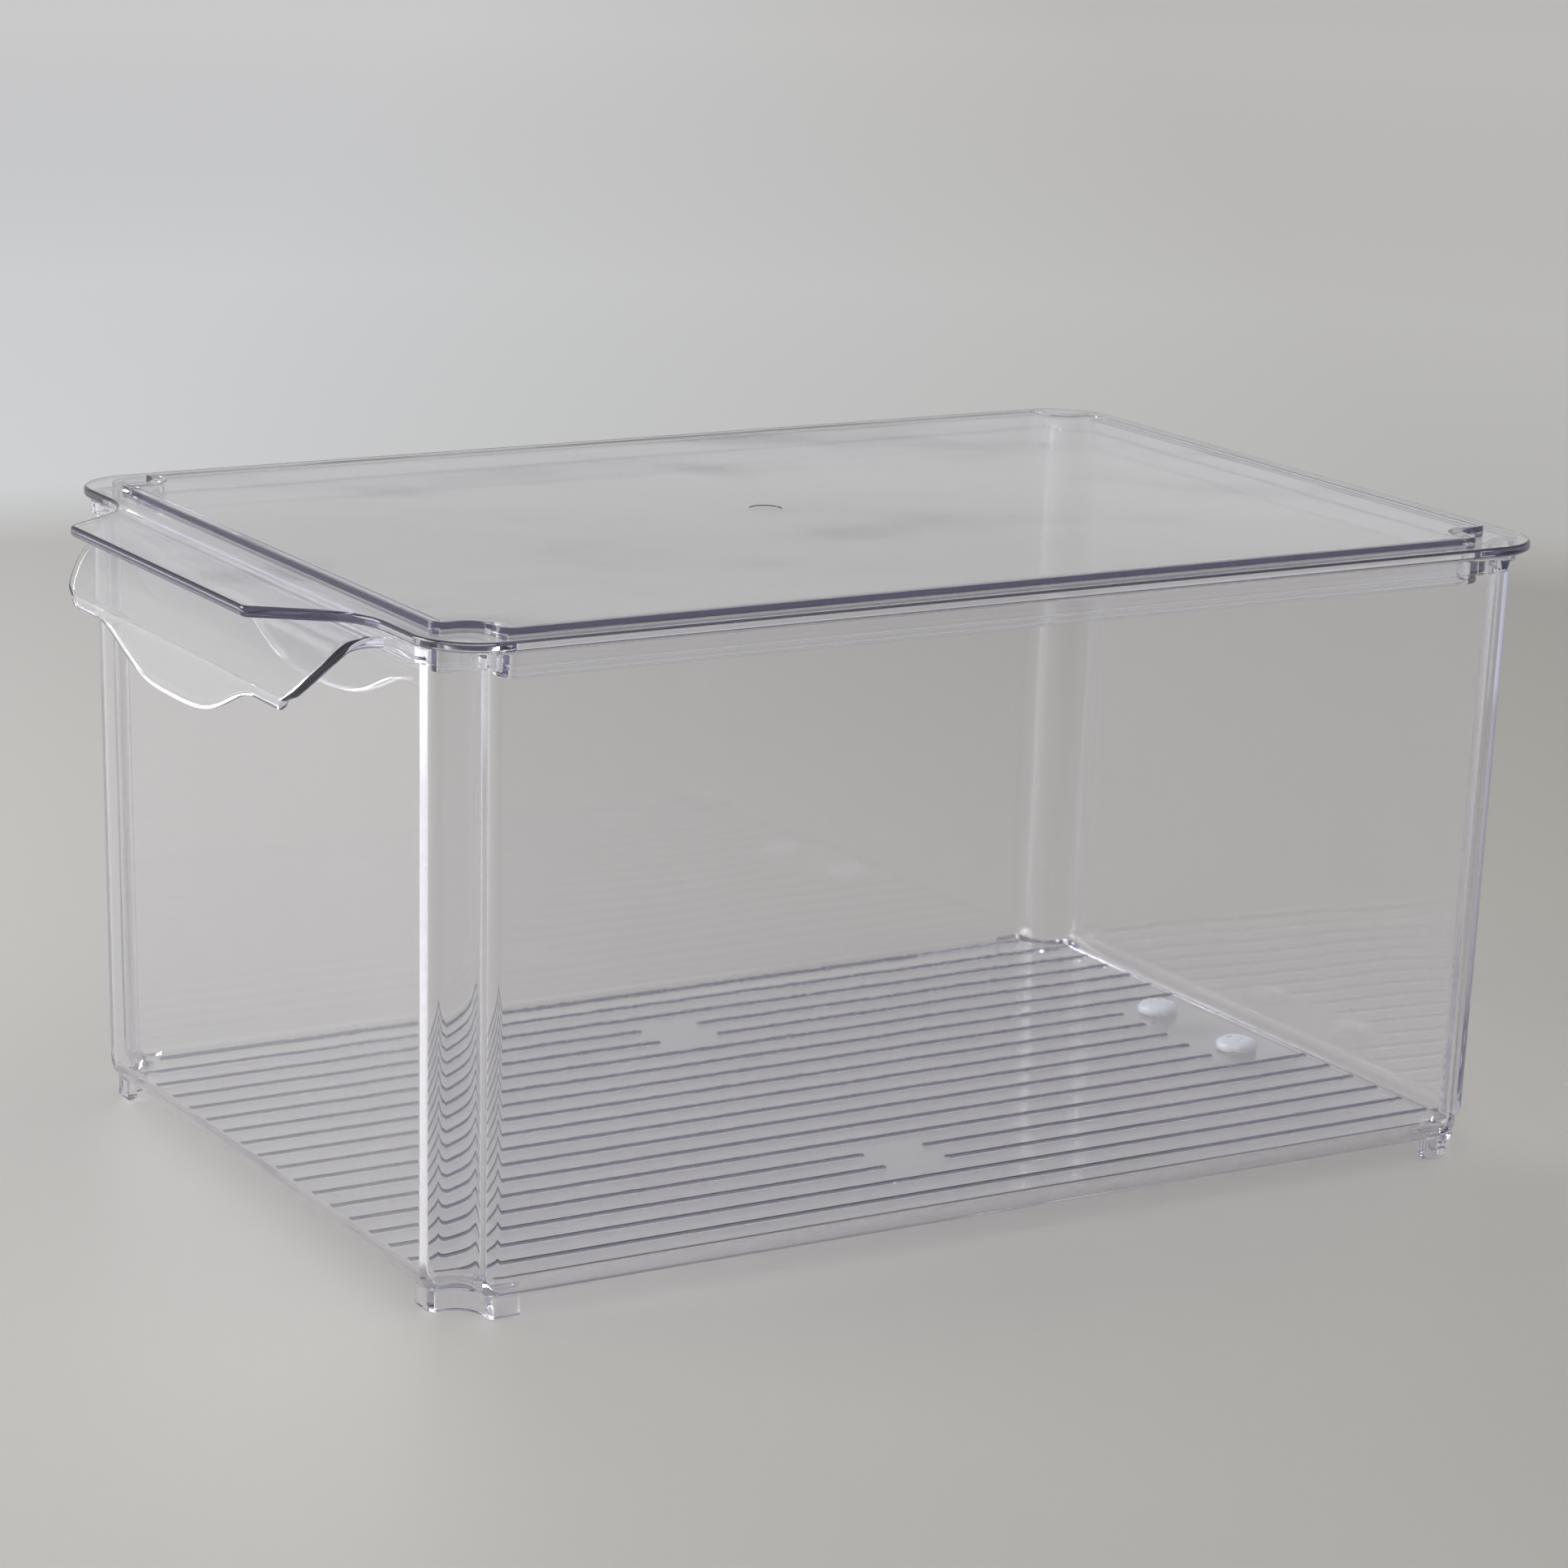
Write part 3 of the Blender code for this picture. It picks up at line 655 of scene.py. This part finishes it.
def lid_shell():
    """The lid as one skin: plate, plug, raised panel and tab, less the plug's hollow and the gate mark."""
    steps = [(plug_block(), "UNION"), (plug_hollow(), "DIFFERENCE")]
    steps += [(gate_mark(), "DIFFERENCE"), (tab_slab(), "UNION")]
    return combine(lid_plate(), steps)


def add_node(tree, kind, **sockets):
    """A shader node with the given input values."""
    made = tree.nodes.new(kind)
    for name, value in sockets.items():
        made.inputs[name.replace("_", " ")].default_value = value
    return made


def span(tree, value, from_low, from_high, to_low, to_high):
    """A value carried from one range to another and held inside it."""
    made = tree.nodes.new("ShaderNodeMapRange")
    made.clamp = True
    limits = {"From Min": from_low, "From Max": from_high, "To Min": to_low, "To Max": to_high}
    for name, number in limits.items():
        made.inputs[name].default_value = number
    tree.links.new(value, made.inputs["Value"])
    return made.outputs["Result"]


def noise(tree, place, scale, detail, roughness):
    """Cloudy noise over a piece, in its own coordinates."""
    made = add_node(tree, "ShaderNodeTexNoise", Scale=scale, Detail=detail, Roughness=roughness)
    tree.links.new(place, made.inputs["Vector"])
    return made.outputs["Fac"]


def bumped(tree, height, strength, distance):
    """A bump node that reads a height."""
    made = add_node(tree, "ShaderNodeBump", Strength=strength, Distance=distance)
    tree.links.new(height, made.inputs["Height"])
    return made


def two_values(tree, operation, first, second):
    """A Math node on two values. The second is a socket or a number."""
    made = tree.nodes.new("ShaderNodeMath")
    made.operation = operation
    tree.links.new(first, made.inputs[0])
    if isinstance(second, float):
        made.inputs[1].default_value = second
    else:
        tree.links.new(second, made.inputs[1])
    return made.outputs["Value"]


def mixed_shaders(tree, share, first, second):
    """Two shaders mixed by a share."""
    made = tree.nodes.new("ShaderNodeMixShader")
    for socket, own in zip((share, first, second), made.inputs):
        tree.links.new(socket, own)
    return made.outputs["Shader"]


def colour_ramp(tree, value, stops):
    """A colour that changes with a value, through stops of (value, colour)."""
    made = tree.nodes.new("ShaderNodeValToRGB")
    tree.links.new(value, made.inputs["Fac"])
    elements = made.color_ramp.elements
    for extra in stops[2:]:
        elements.new(1.0)
    for element, (position, colour) in zip(elements, stops):
        element.position = position
        element.color = colour
    return made.outputs["Color"]


def mixed_colours(tree, way, share, first, second):
    """Two colours blended in the given way, by a share, or wholly where the share is None. A colour is a
    socket or a value."""
    made = tree.nodes.new("ShaderNodeMix")
    made.data_type = "RGBA"
    made.blend_type = way
    share_in, first_in, second_in = (made.inputs[k] for k in MIX_COLOUR_SOCKETS)
    if share is None:
        share_in.default_value = 1
    else:
        tree.links.new(share, share_in)
    for colour, socket in ((first, first_in), (second, second_in)):
        if isinstance(colour, tuple):
            socket.default_value = colour
        else:
            tree.links.new(colour, socket)
    return made.outputs[MIX_COLOUR_RESULT]


def clear_plastic(name, trapped_tint_and_painted_dark, turns_back):
    """Clear rigid plastic: glass-like, faintly violet in its thickness, with the slow waves of the moulding
    and faint scuffs in its surface. Lamps shine through it. Light that has been thrown back more often than
    turns_back, or turned at all more often than MOST_TURNS, leaves it straight, with the trapped tint. Where
    that tint is dark, as on the lid, it paints dark reflections along the edges."""
    material = bpy.data.materials.new(name)
    material.use_nodes = True
    tree = material.node_tree
    tree.nodes.clear()
    link = tree.links.new
    out = tree.nodes.new("ShaderNodeOutputMaterial")
    shader = add_node(tree, "ShaderNodeBsdfPrincipled", Base_Color=PLASTIC_COLOUR, IOR=PLASTIC_IOR)
    shader.inputs["Transmission Weight"].default_value = PLASTIC_CLEARNESS
    place = tree.nodes.new("ShaderNodeTexCoord").outputs["Object"]
    waves = noise(tree, place, WAVE_SCALE, WAVE_DETAIL, WAVE_NOISE_ROUGHNESS)
    scuffs = noise(tree, place, SCUFF_SCALE, SCUFF_DETAIL, SCUFF_NOISE_ROUGHNESS)
    link(span(tree, scuffs, *SCUFF_RANGE, *PLASTIC_ROUGHNESS), shader.inputs["Roughness"])
    grain = bumped(tree, scuffs, 1.0, SCUFF_HEIGHT)
    swell = bumped(tree, waves, 1.0, WAVE_HEIGHT)
    link(grain.outputs["Normal"], swell.inputs["Normal"])
    link(swell.outputs["Normal"], shader.inputs["Normal"])
    path = tree.nodes.new("ShaderNodeLightPath").outputs
    turned = two_values(tree, "GREATER_THAN", path["Glossy Depth"], turns_back)
    worn_out = two_values(tree, "GREATER_THAN", path["Ray Depth"], MOST_TURNS)
    trapped = two_values(tree, "MAXIMUM", turned, worn_out)
    # Where the tint is dark, as on the lid, this paints dark reflections along its edges.
    let_out = add_node(tree, "ShaderNodeBsdfTransparent", Color=trapped_tint_and_painted_dark)
    body = mixed_shaders(tree, trapped, shader.outputs["BSDF"], let_out.outputs["BSDF"])
    lamp_light = add_node(tree, "ShaderNodeBsdfTransparent", Color=SHADOW_TINT)
    whole = mixed_shaders(tree, path["Is Shadow Ray"], body, lamp_light.outputs["BSDF"])
    link(whole, out.inputs["Surface"])
    absorb = add_node(tree, "ShaderNodeVolumeAbsorption", Color=ABSORB_COLOUR, Density=ABSORB_DENSITY)
    link(absorb.outputs["Volume"], out.inputs["Volume"])
    return material


def frosted_rubber():
    """Frosted, slightly see-through rubber: a fine matt grain over a soft milky body."""
    material = bpy.data.materials.new("frosted_soft_rubber")
    material.use_nodes = True
    tree = material.node_tree
    link = tree.links.new
    shader = tree.nodes["Principled BSDF"]
    shader.inputs["Transmission Weight"].default_value = RUBBER_CLEARNESS
    shader.inputs["IOR"].default_value = RUBBER_IOR
    place = tree.nodes.new("ShaderNodeTexCoord").outputs["Object"]
    clouds = noise(tree, place, RUBBER_CLOUD_SCALE, RUBBER_CLOUD_DETAIL, RUBBER_CLOUD_NOISE_ROUGHNESS)
    colour = colour_ramp(tree, clouds, tuple(zip(RUBBER_CLOUD_RANGE, RUBBER_COLOURS)))
    link(colour, shader.inputs["Base Color"])
    link(span(tree, clouds, *RUBBER_CLOUD_RANGE, *RUBBER_ROUGHNESS), shader.inputs["Roughness"])
    grain = noise(tree, place, RUBBER_GRAIN_SCALE, RUBBER_GRAIN_DETAIL, RUBBER_GRAIN_NOISE_ROUGHNESS)
    bump = bumped(tree, grain, RUBBER_GRAIN_STRENGTH, RUBBER_GRAIN_HEIGHT)
    link(bump.outputs["Normal"], shader.inputs["Normal"])
    return material


def floor_stage():
    """The floor: a wide flat sheet, pale and plain, that turns into the paler colour of a wall far off, with
    painted shade that darkens and warms it towards the right.
    """
    reach = FLOOR_REACH
    points = np.array([(-reach, -reach), (reach, -reach), (reach, reach), (-reach, reach)])
    points = np.column_stack([points, np.full(4, -FLOOR_DROP)])
    floor = new_piece("floor", points, [[0, 1, 2, 3]])
    material = bpy.data.materials.new("pale_floor")
    material.use_nodes = True
    tree = material.node_tree
    link = tree.links.new
    shader = tree.nodes["Principled BSDF"]
    shader.inputs["Roughness"].default_value = FLOOR_ROUGHNESS
    place = tree.nodes.new("ShaderNodeTexCoord").outputs["Object"]
    away = tree.nodes.new("ShaderNodeVectorMath")
    away.operation = "LENGTH"
    link(place, away.inputs[0])
    faded = colour_ramp(tree, span(tree, away.outputs["Value"], 0, FLOOR_FADE, 0, 1), FLOOR_COLOURS)
    across = tree.nodes.new("ShaderNodeVectorMath")
    across.operation = "DOT_PRODUCT"
    across.inputs[1].default_value = ACROSS_PHOTO
    link(place, across.inputs[0])
    to_right = span(tree, across.outputs["Value"], *FLOOR_SIDES, 0, 1)
    # Painted shade: the floor's colour darkens and warms towards the right.
    sides = mixed_colours(tree, "MIX", to_right, *PAINTED_SIDE_SHADE_TINTS)
    link(mixed_colours(tree, "MULTIPLY", None, faded, sides), shader.inputs["Base Color"])
    floor.data.materials.append(material)


def studio_world():
    """The light from all round. The camera, reflections and clear plastic see it pale at the horizon and dark
    overhead, as in a room, and it lights matt surfaces evenly."""
    world = bpy.data.worlds.new("studio")
    bpy.context.scene.world = world
    world.use_nodes = True
    tree = world.node_tree
    link = tree.links.new
    place = tree.nodes.new("ShaderNodeTexCoord")
    split = tree.nodes.new("ShaderNodeSeparateXYZ")
    link(place.outputs["Generated"], split.inputs["Vector"])
    seen = tree.nodes["Background"]
    link(colour_ramp(tree, split.outputs["Z"], SKY_COLOURS), seen.inputs["Color"])
    ambient = add_node(tree, "ShaderNodeBackground", Color=AMBIENT_COLOUR)
    path = tree.nodes.new("ShaderNodeLightPath").outputs
    camera_or_glossy = two_values(tree, "MAXIMUM", path["Is Camera Ray"], path["Is Glossy Ray"])
    seen_ray = two_values(tree, "MAXIMUM", camera_or_glossy, path["Is Transmission Ray"])
    whole = mixed_shaders(tree, seen_ray, ambient.outputs["Background"], seen.outputs["Background"])
    link(whole, tree.nodes["World Output"].inputs["Surface"])


def lamp(name, place, aim, size, power):
    """A soft rectangular lamp at a place, turned towards a point."""
    data = bpy.data.lights.new(name, "AREA")
    data.shape = "RECTANGLE"
    data.size, data.size_y = size
    data.energy = power
    obj = bpy.data.objects.new(name, data)
    obj.location = place
    obj.rotation_mode = "QUATERNION"
    obj.rotation_quaternion = (Vector(place) - Vector(aim)).to_track_quat("Z", "Y")
    bpy.context.collection.objects.link(obj)


def photo_camera():
    """The camera where the photograph was taken from."""
    turn = math.radians(CAMERA_AZIMUTH)
    rise = math.radians(CAMERA_ELEVATION)
    back = Vector((math.sin(turn) * math.cos(rise), -math.cos(turn) * math.cos(rise), math.sin(rise)))
    data = bpy.data.cameras.new("camera")
    data.lens = CAMERA_LENS
    data.sensor_width = SENSOR_WIDTH
    obj = bpy.data.objects.new("camera", data)
    obj.rotation_mode = "QUATERNION"
    obj.rotation_quaternion = back.to_track_quat("Z", "Y") @ Quaternion((0, 0, 1), math.radians(CAMERA_ROLL))
    obj.location = Vector(CAMERA_AIM) + back * CAMERA_DISTANCE
    bpy.context.collection.objects.link(obj)
    bpy.context.scene.camera = obj


def dress(piece, nodes, body, material):
    """Gives a finished piece its material, its body and the nodes that it stands for."""
    piece.data.materials.clear()
    piece.data.materials.append(material)
    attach(piece, body)
    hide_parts(*nodes)


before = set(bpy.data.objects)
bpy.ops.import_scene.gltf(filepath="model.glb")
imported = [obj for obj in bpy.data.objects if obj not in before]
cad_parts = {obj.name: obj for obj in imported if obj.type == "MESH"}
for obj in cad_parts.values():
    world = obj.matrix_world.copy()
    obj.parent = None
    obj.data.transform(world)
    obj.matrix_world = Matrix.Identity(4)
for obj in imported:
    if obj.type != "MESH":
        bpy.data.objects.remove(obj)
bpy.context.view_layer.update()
tub_plastic = clear_plastic("clear_tub_plastic", *TUB_TRAPPED)
lid_plastic = clear_plastic("clear_lid_plastic", *LID_TRAPPED_PAINTED_DARK)
rubber = frosted_rubber()
feet = ["front_left_foot", "front_right_foot", "rear_left_foot", "rear_right_foot"]
dress(tub_shell(), ["tub"] + feet, "tub", tub_plastic)
dress(lid_shell(), ["lid"], "lid", lid_plastic)
dress(bumper("left_bumper_dome", -1), ["left_bumper"], "tub", rubber)
dress(bumper("right_bumper_dome", 1), ["right_bumper"], "tub", rubber)
floor_stage()
studio_world()
for settings in LAMPS:
    lamp(*settings)
photo_camera()
bpy.context.scene.view_settings.view_transform = "Standard"
